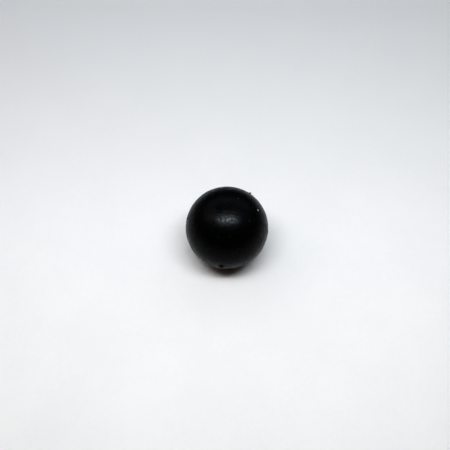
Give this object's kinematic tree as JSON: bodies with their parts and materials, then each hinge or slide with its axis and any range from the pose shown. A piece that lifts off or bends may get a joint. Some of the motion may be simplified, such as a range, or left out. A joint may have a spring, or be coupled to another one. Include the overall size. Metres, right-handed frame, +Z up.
{
  "type": "case opening friction ball",
  "caption": "Hollow inflatable ball of soft black rubber with a seam and a needle valve, gripped in the palm and pressed on a watch case to unscrew its back by friction.",
  "frame": {"origin": "centre of the ball", "axes": "+Z up as the ball lies on a table, -Y towards the viewer, +X to the viewer's right; the valve axis runs out of the origin along (-0.1350, -0.9609, -0.2419), forward, slightly left and 14 degrees down"},
  "size_m": [0.065, 0.065, 0.065],
  "materials": {
    "shell_rubber": "fine moulded satin, slightly dusty",
    "seam_cement": "trimmed and scuffed, a little paler than the shells",
    "housing_rubber": "matt",
    "plug_rubber": "soft, smooth, slightly glossy"
  },
  "bodies": {
    "root": {"plain_half_shell": "shell_rubber", "valve_half_shell": "shell_rubber", "seam_cement_ring": "seam_cement", "valve_housing": "housing_rubber", "valve_plug": "plug_rubber"}
  },
  "joints": []
}
